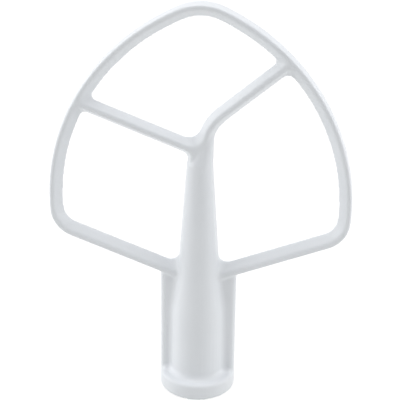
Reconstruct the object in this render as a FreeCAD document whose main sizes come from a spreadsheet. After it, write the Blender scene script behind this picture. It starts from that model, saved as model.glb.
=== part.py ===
import FreeCAD, Part
import math
import os
import re

import Sketcher
from FreeCAD import Placement, Rotation, Vector

# Flat beater of a tilt-head stand mixer: one aluminium casting that stands on its hub.
# Millimetres, +Z up. The origin is the centre of the shaft bore's mouth, the frame lies
# in the XZ plane with its parting line at Y = 0, and the front is -Y.

NODE = "flat_beater"

SIZES = [
    # The frame's outline, drawn at the parting plane.
    ("half_width", 65.0, "outer edge of the frame from the axis"),
    ("widest_height", 89.2, "height at which the frame is widest"),
    ("side_radius", 89.4, "inner edge of each side"),
    ("rim_width", 5.5, "side of the frame across the parting plane"),
    ("apex_round", 17.8, "inner rounding at the top"),
    ("corner_round", 8.2, "inner rounding at the lower corners"),
    ("lower_slope", 21.2, "lower arms, degrees above the horizontal"),
    ("lower_height", 56.55, "upper edge of the lower arms, produced to the axis"),
    ("lower_width", 5.95, "lower arm across the parting plane"),
    # The two cross arms.
    ("cross_width", 6.3, "cross arm across the parting plane"),
    ("left_slope", 21.2, "left cross arm, degrees"),
    ("left_height", 113.5, "left cross arm's centre line, produced to the axis"),
    ("right_slope", 40.7, "right cross arm, degrees"),
    ("bend_radius", 17.5, "inside of the bend from the column into the right arm"),
    ("bend_across", 22.4, "centre of that bend from the axis"),
    ("bend_height", 114.8, "centre of that bend"),
    # Roundings between bars, at the parting plane.
    ("joint_round", 2.6, "cross arm to rim"),
    ("elbow_round", 3.8, "right cross arm to rim, underneath"),
    ("fork_round", 3.6, "left cross arm to column"),
    ("notch_round", 6.0, "left cross arm to the bend of the right one"),
    ("foot_round", 5.2, "lower arm to column"),
    ("crest_share", 0.85, "what is left of these roundings at the crest"),
    # Casting section of the bars.
    ("half_depth", 3.6, "crest of a bar from the parting plane"),
    ("crest_width", 1.6, "flat crest of a bar before its edges are broken"),
    ("outer_run", 0.4, "outer flank, measured along the parting plane"),
    ("crest_break", 0.45, "break of the crest's edges"),
    # Where the windows' edges run inside the column.
    ("column_lean", 3.1, "edge inside the column, degrees from the vertical"),
    ("column_run", 1.5, "how far that edge moves in at the crest"),
    # Column and hub, turned about the axis.
    ("hub_radius", 16.65, "collar at the hub's end"),
    ("collar_height", 7.0, "collar from the end face to its shoulder"),
    ("end_break", 0.2, "collar's end edge"),
    ("collar_round", 1.3, "collar's shoulder edge"),
    ("column_radius", 11.7, "column at the collar"),
    ("column_draft", 0.4, "lower column, degrees"),
    ("column_round", 1.6, "column to collar"),
    ("flare_radius", 10.0, "column's radius half way up its flare"),
    ("flare_height", 50.0, "height of that radius"),
    ("flare_slope", 6.7, "flare, degrees"),
    ("flare_round", 60.0, "blend at both ends of the flare"),
    ("neck_radius", 5.45, "column where the fork begins"),
    ("neck_height", 108.0, "height where the fork begins"),
    ("neck_slope", 4.0, "upper column, degrees"),
    ("fork_radius", 3.8, "column's radius where the bend begins"),
    ("fork_turn", 25.0, "degrees of the bend over which the column fades into the arm"),
    ("fork_end_radius", 2.5, "radius at which it has faded into the arm"),
    # Webs beside the column.
    ("web_half", 2.6, "web's face from the parting plane"),
    ("web_inset", 0.1, "web's edge inside the collar's"),
    ("web_edge_round", 2.0, "web's outer edges"),
    ("pocket_round", 1.5, "web to column and collar"),
    ("web_sink", 0.6, "web into the lower arms"),
    # Shaft bore and the bayonet for the shaft's cross pin.
    ("shaft_diameter", 12.7, "shaft that the hub slides on"),
    ("shaft_clearance", 0.2, "bore over the shaft's diameter"),
    ("bore_depth", 44.0, "straight wall of the bore"),
    ("bore_chamfer", 0.8, "bore's mouth"),
    ("bore_point", 31.0, "end of the bore, degrees"),
    ("pin_diameter", 5.0, "shaft's cross pin"),
    ("pin_reach", 11.8, "end of the pin from the axis"),
    ("pin_clearance", 0.8, "slot over the pin's diameter, and past its end"),
    ("slot_round", 1.5, "corners of the pin slot"),
    ("gate_clearance", 2.4, "gate above the collar, over the pin's diameter"),
    ("gate_round", 2.0, "upper corners of the gate"),
    ("gate_spare", 0.4, "gate past the column's foot rounding"),
]

# Flank widths that follow from the section.
RIM_RUN = "(rim_width - outer_run - crest_width)"
CROSS_RUN = "((cross_width - crest_width) / 2)"

doc = FreeCAD.newDocument("FlatBeater")


def make_sheet():
    made = doc.addObject("Spreadsheet::Sheet", "Sizes")
    for row, (alias, value, note) in enumerate(SIZES, start=1):
        made.set("A%d" % row, alias)
        made.set("B%d" % row, str(value))
        made.set("C%d" % row, note)
        made.setAlias("B%d" % row, alias)
    doc.recompute()
    return made


sheet = make_sheet()
body = doc.addObject("PartDesign::Body", "FlatBeater")
body.Label = NODE
body.Placement = Placement(Vector(0, 0, 0), Rotation())
aliases = {alias for alias, value, note in SIZES}


def number(expression):
    """The present value of an expression over the sheet."""
    return float(sheet.evalExpression(expression))


def bound(expression):
    """The same expression as an object of the document has to write it."""
    return re.sub(r"[a-z_]+", lambda m: "Sizes." + m[0] if m[0] in aliases else m[0], expression)


def origin_plane(role):
    return next(f for f in body.Origin.OriginFeatures if f.Role == role)


def new_sketch(name, role, offset="0"):
    """An empty sketch on one of the body's planes, moved along that plane's normal."""
    sketch = body.newObject("Sketcher::SketchObject", name)
    sketch.AttachmentSupport = [(origin_plane(role), "")]
    sketch.MapMode = "FlatFace"
    sketch.AttachmentOffset = Placement(Vector(0, 0, number(offset)), Rotation())
    sketch.setExpression("AttachmentOffset.Base.z", bound(offset))
    return sketch


def hold(sketch, label, kind, *arguments):
    """One driven dimension: the last argument is its expression."""
    *places, expression = arguments
    start = number(expression)
    if kind == "Angle":
        start = math.radians(start)
    index = sketch.addConstraint(Sketcher.Constraint(kind, *places, start))
    sketch.renameConstraint(index, label)
    unit = " * 1 deg" if kind == "Angle" else ""
    sketch.setExpression("Constraints." + label, "(" + bound(expression) + ")" + unit)


# An outline is a ring of sides, travelled with the inside on the left. Each side is straight or
# curved, and each is followed by its corner: a rounding's radius, hollow(radius) where the outline
# turns to the right, SMOOTH or SHARP.
SMOOTH = "smooth"
SHARP = "sharp"


def hollow(radius):
    return ("hollow", radius)


def straight(angle, through=None):
    """A straight side at an angle in degrees, through a point, or else tangent to a curved side."""
    return {"angle": angle, "through": through}


def curved(across, height, radius, turn):
    """A side on a large circle, travelled to the left (turn 1) or to the right (turn -1)."""
    return {"across": across, "up": height, "radius": radius, "turn": turn}


class Side:
    """A side with its present numbers."""

    def __init__(self, spec):
        self.spec = spec
        self.round = "radius" in spec
        if self.round:
            self.centre = Vector(number(spec["across"]), number(spec["up"]), 0)
            self.radius = number(spec["radius"])
            self.turn = spec["turn"]
        else:
            angle = math.radians(number(spec["angle"]))
            self.along = Vector(math.cos(angle), math.sin(angle), 0)
            self.left = Vector(-self.along.y, self.along.x, 0)
            if spec["through"]:
                self.point = Vector(number(spec["through"][0]), number(spec["through"][1]), 0)

    def touch(self, curve):
        """Where this straight side is tangent to a curved one."""
        return curve.centre - self.left * (curve.radius * curve.turn)

    def foot(self, centre):
        """The point of this side next to a rounding's centre."""
        if self.round:
            out = centre - self.centre
            return self.centre + out * (self.radius / out.Length)
        return self.point + self.along * (centre - self.point).dot(self.along)


def line_meets_line(first, second, gap):
    p = first.point + first.left * gap
    q = second.point + second.left * gap
    cross = first.along.x * second.along.y - first.along.y * second.along.x
    away = q - p
    reach = (away.x * second.along.y - away.y * second.along.x) / cross
    return p + first.along * reach


def line_meets_circle(line, curve, gap, forward):
    p = line.point + line.left * gap
    radius = curve.radius - curve.turn * gap
    middle = (curve.centre - p).dot(line.along)
    offset = (curve.centre - p - line.along * middle).Length
    half = math.sqrt(radius * radius - offset * offset)
    return p + line.along * (middle + (half if forward else -half))


def circle_meets_circle(first, second, gap):
    a = first.radius - first.turn * gap
    b = second.radius - second.turn * gap
    between = second.centre - first.centre
    length = between.Length
    along = between * (1 / length)
    left = Vector(-along.y, along.x, 0)
    reach = (a * a - b * b + length * length) / (2 * length)
    return first.centre + along * reach + left * math.sqrt(a * a - reach * reach)


def corner_centre(first, second, gap):
    if not first.round and not second.round:
        return line_meets_line(first, second, gap)
    if first.round and second.round:
        return circle_meets_circle(first, second, gap)
    if first.round:
        return line_meets_circle(second, first, gap, first.turn < 0)
    return line_meets_circle(first, second, gap, second.turn > 0)


def arc_between(centre, radius, start, end):
    """An arc travelled anticlockwise from one point to another."""
    a = math.atan2(start.y - centre.y, start.x - centre.x)
    b = math.atan2(end.y - centre.y, end.x - centre.x)
    if b < a:
        b += 2 * math.pi
    return Part.ArcOfCircle(Part.Circle(centre, Vector(0, 0, 1), radius), a, b)


def trace(sides, corners):
    """Where each side starts and ends, and the centre of the rounding after it."""
    count = len(sides)
    for index, side in enumerate(sides):
        if not side.round and side.spec["through"] is None:
            beside = sides[index - 1] if corners[index - 1] == SMOOTH else sides[(index + 1) % count]
            side.point = side.touch(beside)
    starts = [None] * count
    ends = [None] * count
    centres = [None] * count
    for index, corner in enumerate(corners):
        after = (index + 1) % count
        first = sides[index]
        second = sides[after]
        if corner == SMOOTH:
            meet = second.touch(first) if first.round else first.touch(second)
            ends[index] = starts[after] = meet
        elif corner == SHARP:
            ends[index] = starts[after] = line_meets_line(first, second, 0)
        else:
            gap = -number(corner[1]) if isinstance(corner, tuple) else number(corner)
            centres[index] = corner_centre(first, second, gap)
            ends[index] = first.foot(centres[index])
            starts[after] = second.foot(centres[index])
    return starts, ends, centres


def outline_sketch(name, role, offset, ring):
    """A closed outline of (side, corner) pairs, with every size driven by the sheet."""
    sides = [Side(spec) for spec, corner in ring]
    corners = [corner for spec, corner in ring]
    starts, ends, centres = trace(sides, corners)
    sketch = new_sketch(name, role, offset)
    chain = []
    for index, side in enumerate(sides):
        label = "side%d" % index
        if side.round and side.turn > 0:
            edge = sketch.addGeometry(arc_between(side.centre, side.radius, starts[index], ends[index]))
            chain.append((edge, 1, 2, corners[index]))
        elif side.round:
            edge = sketch.addGeometry(arc_between(side.centre, side.radius, ends[index], starts[index]))
            chain.append((edge, 2, 1, corners[index]))
        else:
            edge = sketch.addGeometry(Part.LineSegment(starts[index], ends[index]))
            chain.append((edge, 1, 2, corners[index]))
        corner = corners[index]
        begin = ends[index]
        finish = starts[(index + 1) % len(sides)]
        if isinstance(corner, tuple):
            rounding = sketch.addGeometry(arc_between(centres[index], number(corner[1]), finish, begin))
            chain.append((rounding, 2, 1, SMOOTH))
            hold(sketch, "round%d" % index, "Radius", rounding, corner[1])
        elif corner not in (SMOOTH, SHARP):
            rounding = sketch.addGeometry(arc_between(centres[index], number(corner), begin, finish))
            chain.append((rounding, 1, 2, SMOOTH))
            hold(sketch, "round%d" % index, "Radius", rounding, corner)
        if side.round:
            hold(sketch, label + "_across", "DistanceX", -1, 1, edge, 3, side.spec["across"])
            hold(sketch, label + "_up", "DistanceY", -1, 1, edge, 3, side.spec["up"])
            hold(sketch, label + "_radius", "Radius", edge, side.spec["radius"])
        else:
            hold(sketch, label + "_angle", "Angle", edge, side.spec["angle"])
        if not side.round and side.spec["through"]:
            mark = sketch.addGeometry(Part.Point(side.point), True)
            sketch.addConstraint(Sketcher.Constraint("PointOnObject", mark, 1, edge))
            hold(sketch, label + "_across", "DistanceX", -1, 1, mark, 1, side.spec["through"][0])
            hold(sketch, label + "_up", "DistanceY", -1, 1, mark, 1, side.spec["through"][1])
    for (edge, begin, end, corner), (following, first, last, other) in zip(chain, chain[1:] + chain[:1]):
        kind = "Coincident" if corner == SHARP else "Tangent"
        sketch.addConstraint(Sketcher.Constraint(kind, edge, end, following, first))
    if sketch.solve() != 0 or not sketch.FullyConstrained:
        raise RuntimeError("outline not held: " + name)
    return sketch


# Casting levels of a bar, from the parting plane out: how much of a flank's run its edge has moved in,
# and what the break of the crest adds.
PARTING = ("0", "0")
SHOULDER = ("(1 - crest_break / half_depth)", "0")
CREST = ("1", "crest_break")
SHOULDER_DEPTH = "(half_depth - crest_break)"


def inset(level, run):
    share, extra = level
    return "(" + share + " * " + run + " + " + extra + ")"


def eased(level, radius):
    """A rounding between two bars, which closes up towards the crest."""
    share, extra = level
    return "(" + radius + " * (1 - " + share + " * (1 - crest_share)))"


def levels(draw, name):
    """The outline that draw gives, from the front crest through the parting plane to the back crest."""
    return [
        outline_sketch(name + "FrontCrest", "XZ_Plane", "half_depth", draw(CREST)),
        outline_sketch(name + "FrontShoulder", "XZ_Plane", SHOULDER_DEPTH, draw(SHOULDER)),
        outline_sketch(name + "Parting", "XZ_Plane", "0", draw(PARTING)),
        outline_sketch(name + "BackShoulder", "XZ_Plane", "-" + SHOULDER_DEPTH, draw(SHOULDER)),
        outline_sketch(name + "BackCrest", "XZ_Plane", "-half_depth", draw(CREST)),
    ]


def loft(kind, name, sections, ruled):
    made = body.newObject("PartDesign::" + kind, name)
    made.Profile = sections[0]
    made.Sections = sections[1:]
    made.Ruled = ruled
    doc.recompute()


def round_edges(name, radius, test):
    """Rounds the edges of the casting so far that pass a test."""
    base = body.Tip
    names = ["Edge%d" % index for index, edge in enumerate(base.Shape.Edges, start=1) if test(edge)]
    made = body.newObject("PartDesign::Fillet", name)
    made.Base = (base, names)
    made.setExpression("Radius", bound(radius))
    doc.recompute()


def turned(kind, name, profile):
    """A full turn of a profile about the axis."""
    made = body.newObject("PartDesign::" + kind, name)
    made.Profile = profile
    made.ReferenceAxis = (profile, ["V_Axis"])
    made.Angle = 360
    doc.recompute()


def straight_run(kind, name, profile, length, reverse):
    made = body.newObject("PartDesign::" + kind, name)
    made.Profile = profile
    made.setExpression("Length", bound(length))
    made.Reversed = reverse
    doc.recompute()


def circle_sketch(name, across, height, lean, radius):
    """A round section with its centre in the XZ plane, leaning over towards +X."""
    sketch = new_sketch(name, "XY_Plane", height)
    turn = Rotation(Vector(0, 1, 0), number(lean))
    sketch.AttachmentOffset = Placement(Vector(number(across), 0, number(height)), turn)
    sketch.setExpression("AttachmentOffset.Base.x", bound(across))
    sketch.setExpression("AttachmentOffset.Rotation.Angle", "(" + bound(lean) + ") * 1 deg")
    circle = sketch.addGeometry(Part.Circle(Vector(0, 0, 0), Vector(0, 0, 1), number(radius)))
    sketch.addConstraint(Sketcher.Constraint("Coincident", circle, 3, -1, 1))
    hold(sketch, "radius", "Radius", circle, radius)
    return sketch


RIM_CENTRE = "(half_width - rim_width - side_radius)"


def outer_outline(level):
    left_over = "(rim_width - " + inset(level, "outer_run") + ")"
    side = "side_radius + " + left_over
    apex = "apex_round + " + left_over
    corner = "corner_round + " + left_over
    lower_left_over = "(lower_width - " + inset(level, "outer_run") + ")"
    lower = "lower_height - " + lower_left_over + " / cos(lower_slope * 1 deg)"
    return [
        (straight("lower_slope", ("0", lower)), corner),
        (curved(RIM_CENTRE, "widest_height", side, 1), apex),
        (curved("-" + RIM_CENTRE, "widest_height", side, 1), corner),
        (straight("-lower_slope", ("0", lower)), SHARP),
    ]


def top_window(level):
    rim = inset(level, RIM_RUN)
    cross = inset(level, CROSS_RUN)
    side = "side_radius + " + rim
    joint = eased(level, "joint_round")
    left_edge = "left_height + (cross_width / 2 - " + cross + ") / cos(left_slope * 1 deg)"
    bend = "bend_radius + cross_width - " + cross
    return [
        (straight("-left_slope", ("0", left_edge)), eased(level, "notch_round")),
        (curved("bend_across", "bend_height", bend, -1), SMOOTH),
        (straight("right_slope"), joint),
        (curved(RIM_CENTRE, "widest_height", side, 1), "apex_round + " + rim),
        (curved("-" + RIM_CENTRE, "widest_height", side, 1), joint),
    ]


def right_window(level):
    rim = inset(level, RIM_RUN)
    cross = inset(level, CROSS_RUN)
    column = inset(level, "column_run")
    lower = "lower_height - " + rim + " / cos(lower_slope * 1 deg)"
    return [
        (straight("lower_slope", ("0", lower)), "corner_round + " + rim),
        (curved(RIM_CENTRE, "widest_height", "side_radius + " + rim, 1), eased(level, "elbow_round")),
        (straight("right_slope - 180"), SMOOTH),
        (curved("bend_across", "bend_height", "bend_radius + " + cross, 1), SMOOTH),
        (straight("column_lean - 90"), eased(level, "foot_round")),
    ]


def left_window(level):
    rim = inset(level, RIM_RUN)
    cross = inset(level, CROSS_RUN)
    column = inset(level, "column_run")
    lower = "lower_height - " + rim + " / cos(lower_slope * 1 deg)"
    left_edge = "left_height - (cross_width / 2 - " + cross + ") / cos(left_slope * 1 deg)"
    column_edge = "bend_radius + " + column + " - bend_across"
    return [
        (straight("-lower_slope", ("0", lower)), eased(level, "foot_round")),
        (straight("90 - column_lean", (column_edge, "bend_height")), eased(level, "fork_round")),
        (straight("180 - left_slope", ("0", left_edge)), eased(level, "joint_round")),
        (curved("-" + RIM_CENTRE, "widest_height", "side_radius + " + rim, 1), "corner_round + " + rim),
    ]


# The frame: a drafted plate with three windows.
loft("AdditiveLoft", "FrameBlank", levels(outer_outline, "Outer"), True)
for label, draw in (("Top", top_window), ("Right", right_window), ("Left", left_window)):
    loft("SubtractiveLoft", label + "Window", levels(draw, label), True)

# Column and collar in one turned profile.
column_profile = [
    (straight("0", ("0", "0")), SHARP),
    (straight("45", ("hub_radius - end_break", "0")), SHARP),
    (straight("90", ("hub_radius", "0")), "collar_round"),
    (straight("180", ("0", "collar_height")), hollow("column_round")),
    (straight("90 + column_draft", ("column_radius", "collar_height")), "flare_round"),
    (straight("90 + flare_slope", ("flare_radius", "flare_height")), hollow("flare_round")),
    (straight("90 + neck_slope", ("neck_radius", "neck_height")), SHARP),
    (straight("180", ("0", "neck_height")), SHARP),
    (straight("-90", ("0", "0")), SHARP),
]
turned("Revolution", "Column", outline_sketch("ColumnProfile", "XZ_Plane", "0", column_profile))

# Fork: the column leans over into the bend of the right cross arm and fades into it.
BEND_MIDDLE = "(bend_radius + cross_width / 2)"
FORK_ACROSS = "bend_across - " + BEND_MIDDLE + " * cos(fork_turn * 1 deg)"
FORK_UP = "bend_height + " + BEND_MIDDLE + " * sin(fork_turn * 1 deg)"
fork_sections = [
    circle_sketch("ForkStart", "0", "neck_height", "0", "neck_radius"),
    circle_sketch("ForkBend", "bend_across - " + BEND_MIDDLE, "bend_height", "0", "fork_radius"),
    circle_sketch("ForkEnd", FORK_ACROSS, FORK_UP, "fork_turn", "fork_end_radius"),
]
loft("AdditiveLoft", "Fork", fork_sections, False)

# Webs: one thin plate through the axis, from inside the collar up into the lower arms.
WEB_REACH = "(hub_radius - web_inset)"
ARM_UNDERSIDE = "(lower_height - lower_width / cos(lower_slope * 1 deg))"
WEB_START = "collar_height / 2"
WEB_TOP = "(" + ARM_UNDERSIDE + " + " + WEB_REACH + " * tan(lower_slope * 1 deg) + web_sink)"
web_section = [
    (straight("0", ("0", "-web_half")), "web_edge_round"),
    (straight("90", (WEB_REACH, "0")), "web_edge_round"),
    (straight("180", ("0", "web_half")), "web_edge_round"),
    (straight("-90", ("-" + WEB_REACH, "0")), "web_edge_round"),
]
webs = outline_sketch("WebSection", "XY_Plane", WEB_START, web_section)
straight_run("Pad", "Webs", webs, WEB_TOP + " - " + WEB_START, False)

# Blind bore for the shaft, open at the collar's end.
BORE_RADIUS = "(shaft_diameter + shaft_clearance) / 2"
bore_profile = [
    (straight("0", ("0", "0")), SHARP),
    (straight("135", (BORE_RADIUS + " + bore_chamfer", "0")), SHARP),
    (straight("90", (BORE_RADIUS, "0")), SHARP),
    (straight("180 - bore_point", (BORE_RADIUS, "bore_depth")), SHARP),
    (straight("-90", ("0", "0")), SHARP),
]
turned("Groove", "Bore", outline_sketch("BoreProfile", "XZ_Plane", "0", bore_profile))

# Bayonet behind the column: the shaft's cross pin enters through the slot in the collar, then turns
# in the gate above it until it stops against the web.
SLOT_HALF = "(pin_diameter + pin_clearance) / 2"
GATE_TOP = "(collar_height + pin_diameter + gate_clearance)"
GATE_REACH = "(column_radius + column_round + gate_spare)"
slot_section = [
    (straight("90", (SLOT_HALF, "0")), "slot_round"),
    (straight("180", ("0", "pin_reach + pin_clearance")), "slot_round"),
    (straight("-90", ("-" + SLOT_HALF, "0")), SHARP),
    (straight("0", ("0", "0")), SHARP),
]
gate_section = [
    (straight("0", ("0", "collar_height")), SHARP),
    (straight("90", (SLOT_HALF, "0")), "gate_round"),
    (straight("180", ("0", GATE_TOP)), "gate_round"),
    (straight("-90", ("-" + GATE_REACH, "0")), SHARP),
]
slot = outline_sketch("SlotSection", "XY_Plane", "0", slot_section)
straight_run("Pocket", "PinSlot", slot, GATE_TOP, True)
gate = outline_sketch("GateSection", "XZ_Plane", "-web_half", gate_section)
straight_run("Pocket", "PinGate", gate, "hub_radius", False)


# Pockets between web, column and collar, rounded along the web's faces. The web's own outer corner,
# its seam with the arm and the gate's upper edge are left as they are.
SLACK = 1e-4


def on_pocket(edge):
    ends = [vertex.Point for vertex in edge.Vertexes]
    middle = edge.valueAt((edge.FirstParameter + edge.LastParameter) / 2)
    if any(abs(abs(point.y) - number("web_half")) > SLACK for point in ends + [middle]):
        return False
    if math.hypot(middle.x, middle.y) > number(WEB_REACH + " - web_edge_round"):
        return False
    beside_gate = middle.x < 0 < middle.y
    if beside_gate and middle.z < number(GATE_TOP) + SLACK:
        return False
    arm = number(ARM_UNDERSIDE) + abs(middle.x) * math.tan(math.radians(number("lower_slope")))
    return number("collar_height") - SLACK < middle.z < arm


round_edges("PocketRound", "pocket_round", on_pocket)

for item in doc.Objects:
    if "Invalid" in item.State or "Error" in item.State:
        raise RuntimeError("not built: " + item.Name)
if body.Shape.isNull() or not body.Shape.isValid() or len(body.Shape.Solids) != 1:
    raise RuntimeError("the casting is not one sound solid")

os.makedirs("parts", exist_ok=True)
body.Shape.exportStep("parts/%s.step" % NODE)
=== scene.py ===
import math

import bpy
from mathutils import Matrix, Vector


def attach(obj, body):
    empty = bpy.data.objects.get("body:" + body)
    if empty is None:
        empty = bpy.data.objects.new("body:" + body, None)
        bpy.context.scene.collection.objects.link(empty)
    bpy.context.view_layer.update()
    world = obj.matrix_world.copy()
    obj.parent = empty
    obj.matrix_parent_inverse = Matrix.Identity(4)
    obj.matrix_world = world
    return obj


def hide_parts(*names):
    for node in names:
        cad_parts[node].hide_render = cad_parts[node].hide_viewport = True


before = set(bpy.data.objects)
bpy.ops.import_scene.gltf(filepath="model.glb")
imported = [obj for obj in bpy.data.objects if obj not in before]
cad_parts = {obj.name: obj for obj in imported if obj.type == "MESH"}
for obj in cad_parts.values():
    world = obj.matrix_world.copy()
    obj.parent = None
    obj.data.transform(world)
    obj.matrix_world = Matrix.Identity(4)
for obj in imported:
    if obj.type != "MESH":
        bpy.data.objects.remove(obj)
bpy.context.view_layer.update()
mm = 0.001


def linear(hexColour):  # sRGB hex to the linear values that shaders take
    parts = [int(hexColour[i:i + 2], 16) / 255 for i in (1, 3, 5)]
    return [p / 12.92 if p <= 0.04045 else ((p + 0.055) / 1.055) ** 2.4 for p in parts] + [1.0]


def addNode(tree, kind, settings=None, inputs=None, links=None):
    node = tree.nodes.new(kind)
    for name, value in (settings or {}).items():
        setattr(node, name, value)
    for name, value in (inputs or {}).items():
        node.inputs[name].default_value = value
    for name, source in (links or {}).items():
        tree.links.new(source, node.inputs[name])
    return node


def emptyMaterial(name):
    material = bpy.data.materials.new(name)
    material.use_nodes = True
    material.node_tree.nodes.clear()
    return material, material.node_tree


def applyModifier(piece, name, kind, settings):
    modifier = piece.modifiers.new(name, kind)
    for key, value in settings.items():
        setattr(modifier, key, value)
    bpy.ops.object.modifier_apply(modifier=name)


# White nylon, dipped and baked on cast aluminium: the eye sees a soft semi-gloss white, a faint
# orange peel where the melt levelled out, and slow changes of tone and gloss over the casting.
coating = {
    "thick": "#eceff3",       # where the coat lies thick
    "thin": "#e6eaef",        # where the grey metal cools it a little
    "tonePatchMm": 22.0,
    "toneDetail": 2.0,
    "roughFrom": 0.30,
    "roughTo": 0.40,
    "glossPatchMm": 9.0,
    "peelMm": 1.7,            # real orange peel is about 0.8 mm, drawn coarser so that it shows
    "peelDepthMm": 0.012,
    "peelStrength": 0.35,
    "fineDetail": 1.0,        # for gloss and peel, which are smooth patches
    "ior": 1.53,
}


def nylonCoating():
    material, tree = emptyMaterial("dipped white nylon on cast aluminium")
    place = addNode(tree, "ShaderNodeTexCoord").outputs["Object"]
    tone = addNode(tree, "ShaderNodeTexNoise",
                   inputs={"Scale": 1 / (coating["tonePatchMm"] * mm), "Detail": coating["toneDetail"]},
                   links={"Vector": place})
    colour = addNode(tree, "ShaderNodeMix", {"data_type": "RGBA"},
                     links={"Factor": tone.outputs["Fac"]})
    colour.inputs[6].default_value = linear(coating["thin"])  # the mix's two colour sockets
    colour.inputs[7].default_value = linear(coating["thick"])
    gloss = addNode(tree, "ShaderNodeTexNoise",
                    inputs={"Scale": 1 / (coating["glossPatchMm"] * mm),
                            "Detail": coating["fineDetail"]},
                    links={"Vector": place})
    rough = addNode(tree, "ShaderNodeMapRange",
                    inputs={"To Min": coating["roughFrom"], "To Max": coating["roughTo"]},
                    links={"Value": gloss.outputs["Fac"]})
    peel = addNode(tree, "ShaderNodeTexNoise",
                   inputs={"Scale": 1 / (coating["peelMm"] * mm), "Detail": coating["fineDetail"]},
                   links={"Vector": place})
    bump = addNode(tree, "ShaderNodeBump",
                   inputs={"Strength": coating["peelStrength"], "Distance": coating["peelDepthMm"] * mm},
                   links={"Height": peel.outputs["Fac"]})
    skin = addNode(tree, "ShaderNodeBsdfPrincipled", inputs={"IOR": coating["ior"]},
                   links={"Base Color": colour.outputs[2], "Roughness": rough.outputs["Result"],
                          "Normal": bump.outputs["Normal"]})
    addNode(tree, "ShaderNodeOutputMaterial", links={"Surface": skin.outputs["BSDF"]})
    return material


# The casting with its coat: the CAD solid's own form, with the inner corners filled as the melt
# fills them and the outer edges softened.
casting = {
    "weldMm": 0.001,
    "gridMm": 0.54,
    "fillMm": 2.0,          # cast radius and coat in the inner corners
    "fillSteps": 2,
    "sinkMm": 0.12,         # keeps the filling just under the faces that need none
    "softSteps": 4,
    "softFactor": 0.5,
    "coatMm": 0.17,         # thickness that the coat adds
}


def onlySelect(*pieces):
    bpy.ops.object.select_all(action="DESELECT")
    for piece in pieces:
        piece.select_set(True)
    bpy.context.view_layer.objects.active = pieces[0]


def moveOut(piece, name, distanceMm):
    applyModifier(piece, name, "DISPLACE", {"strength": distanceMm * mm, "mid_level": 0.0})


def coatedCasting():
    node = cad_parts["flat_beater"]
    piece = bpy.data.objects.new("coated_beater", node.data.copy())
    bpy.context.scene.collection.objects.link(piece)
    onlySelect(piece)
    bpy.ops.object.mode_set(mode="EDIT")
    bpy.ops.mesh.select_all(action="SELECT")
    bpy.ops.mesh.remove_doubles(threshold=casting["weldMm"] * mm)
    bpy.ops.object.mode_set(mode="OBJECT")
    # a second copy, grown until its inner corners close up and shrunk back, fills them in the first
    bpy.ops.object.duplicate()
    filling = bpy.context.active_object
    grid = {"mode": "VOXEL", "voxel_size": casting["gridMm"] * mm}
    step = casting["fillMm"] / casting["fillSteps"]
    for distance in [step] * casting["fillSteps"] + [-step] * casting["fillSteps"]:
        applyModifier(filling, "grid", "REMESH", grid)
        moveOut(filling, "step", distance)
    moveOut(filling, "sink", -casting["sinkMm"])
    onlySelect(piece, filling)
    bpy.ops.object.join()
    applyModifier(piece, "one skin", "REMESH", grid)
    applyModifier(piece, "soften", "SMOOTH",
                  {"factor": casting["softFactor"], "iterations": casting["softSteps"]})
    moveOut(piece, "coat", casting["coatMm"])
    bpy.ops.object.shade_smooth()
    piece.data.materials.clear()
    piece.data.materials.append(nylonCoating())
    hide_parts("flat_beater")
    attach(piece, "root")
    print("coated casting:", len(piece.data.polygons), "faces")


# A pale sweep. Seen by the camera, or in a gloss, it is white with the object's soft shadow.
floor = {
    "radius": 4.0,
    "sides": 96,
    "drop": 0.0002,          # just under the coat on the hub's end
    "colour": "#f0f0ee",
    "shadowShare": 0.3,      # how strongly the shadow shows on the white
    "glow": 0.80,            # brings the lit floor up to white, and lights nothing
    "glowFar": 0.95,         # out where the lamps no longer reach
    "farFrom": (0.3, 0.9),   # where one glow runs over into the other
}


def seenDirectly(tree):  # 1 for what the camera sees, itself or in a gloss or through glass
    rays = addNode(tree, "ShaderNodeLightPath")
    direct = addNode(tree, "ShaderNodeMath", {"operation": "MAXIMUM"},
                     links={0: rays.outputs["Is Camera Ray"], 1: rays.outputs["Is Glossy Ray"]})
    every = addNode(tree, "ShaderNodeMath", {"operation": "MAXIMUM"},
                    links={0: direct.outputs[0], 1: rays.outputs["Is Transmission Ray"]})
    return every.outputs[0]


def paleFloor():
    bpy.ops.object.select_all(action="DESELECT")
    bpy.ops.mesh.primitive_circle_add(vertices=floor["sides"], radius=floor["radius"],
                                      fill_type="NGON", location=(0, 0, -floor["drop"]))
    sweep = bpy.context.active_object
    sweep.name = "pale_floor"
    material, tree = emptyMaterial("matt white painted board")
    seen = seenDirectly(tree)
    board = addNode(tree, "ShaderNodeBsdfDiffuse", inputs={"Color": linear(floor["colour"])})
    share = [floor["shadowShare"]] * 3 + [1.0]
    shadow = addNode(tree, "ShaderNodeBsdfDiffuse", inputs={"Color": share})
    place = addNode(tree, "ShaderNodeTexCoord").outputs["Object"]
    away = addNode(tree, "ShaderNodeVectorMath", {"operation": "LENGTH"}, links={0: place})
    strength = addNode(tree, "ShaderNodeMapRange",
                       inputs={"From Min": floor["farFrom"][0], "From Max": floor["farFrom"][1],
                               "To Min": floor["glow"], "To Max": floor["glowFar"]},
                       links={"Value": away.outputs["Value"]})
    glow = addNode(tree, "ShaderNodeEmission", links={"Strength": strength.outputs["Result"]})
    white = addNode(tree, "ShaderNodeAddShader")
    tree.links.new(shadow.outputs[0], white.inputs[0])
    tree.links.new(glow.outputs[0], white.inputs[1])
    mix = addNode(tree, "ShaderNodeMixShader", links={"Fac": seen})
    tree.links.new(board.outputs[0], mix.inputs[1])
    tree.links.new(white.outputs[0], mix.inputs[2])
    addNode(tree, "ShaderNodeOutputMaterial", links={"Surface": mix.outputs[0]})
    material.cycles.emission_sampling = "NONE"
    sweep.data.materials.append(material)
    print("floor laid")


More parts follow.
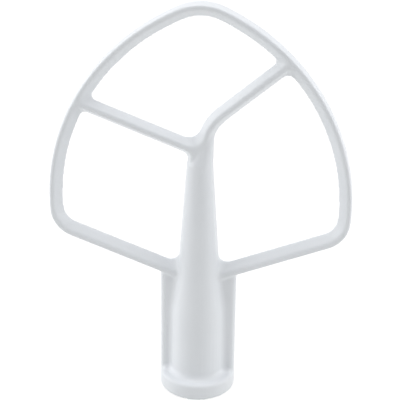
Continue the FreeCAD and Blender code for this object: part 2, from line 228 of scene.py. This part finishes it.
# Soft boxes round the object, weakest towards the camera. A level of 1 is as bright as white paper.
lamps = {
    "left": {"at": (-0.85, 0.0, 0.40), "size": 0.9, "level": 2.0},
    "right": {"at": (0.85, 0.0, 0.40), "size": 0.9, "level": 1.6},
    "above": {"at": (0.0, 0.08, 1.04), "size": 0.9, "level": 2.0},
    "over camera": {"at": (0.0, -0.475, 0.91), "size": 0.7, "level": 0.35},
}
surround = {"aim": (0, 0, 0.09), "level": 0.36}


def softLight():
    for name, lamp in lamps.items():
        light = bpy.data.lights.new("softbox " + name, "AREA")
        light.shape = "SQUARE"
        light.size = lamp["size"]
        light.energy = lamp["level"] * math.pi * lamp["size"] ** 2
        holder = bpy.data.objects.new("softbox " + name, light)
        bpy.context.scene.collection.objects.link(holder)
        holder.location = lamp["at"]
        aim = Vector(surround["aim"]) - Vector(lamp["at"])
        holder.rotation_euler = aim.to_track_quat("-Z", "Y").to_euler()
        holder.visible_camera = False
    world = bpy.data.worlds.new("studio")
    bpy.context.scene.world = world
    world.use_nodes = True
    tree = world.node_tree
    tree.nodes.clear()
    strength = addNode(tree, "ShaderNodeMapRange",
                       inputs={"To Min": surround["level"], "To Max": 1.0},
                       links={"Value": seenDirectly(tree)})
    back = addNode(tree, "ShaderNodeBackground", links={"Strength": strength.outputs["Result"]})
    addNode(tree, "ShaderNodeOutputWorld", links={"Surface": back.outputs[0]})
    print("lamps set")


# The photograph's view: a long lens, a little to the right and above.
view = {
    "target": (0.00014, 0.00001, 0.0907),
    "distance": 0.5233,
    "turn": 4.985,
    "rise": 24.528,
    "roll": 0.753,
    "lens": 109.78,
    "film": 36.0,
    "nearest": 0.01,
}


def photoCamera():
    turn, rise, roll = (math.radians(view[key]) for key in ("turn", "rise", "roll"))
    back = Vector((math.sin(turn) * math.cos(rise), -math.cos(turn) * math.cos(rise), math.sin(rise)))
    level = Vector((math.cos(turn), math.sin(turn), 0))
    upright = back.cross(level)
    across = level * math.cos(roll) + upright * math.sin(roll)
    up = upright * math.cos(roll) - level * math.sin(roll)
    camera = bpy.data.objects.new("camera", bpy.data.cameras.new("camera"))
    bpy.context.scene.collection.objects.link(camera)
    camera.data.lens = view["lens"]
    camera.data.sensor_width = view["film"]
    camera.data.clip_start = view["nearest"]
    place = Matrix((across, up, back)).transposed().to_4x4()
    place.translation = Vector(view["target"]) + back * view["distance"]
    camera.matrix_world = place
    bpy.context.scene.camera = camera
    print("camera placed")


coatedCasting()
paleFloor()
softLight()
photoCamera()
bpy.context.scene.view_settings.view_transform = "Standard"
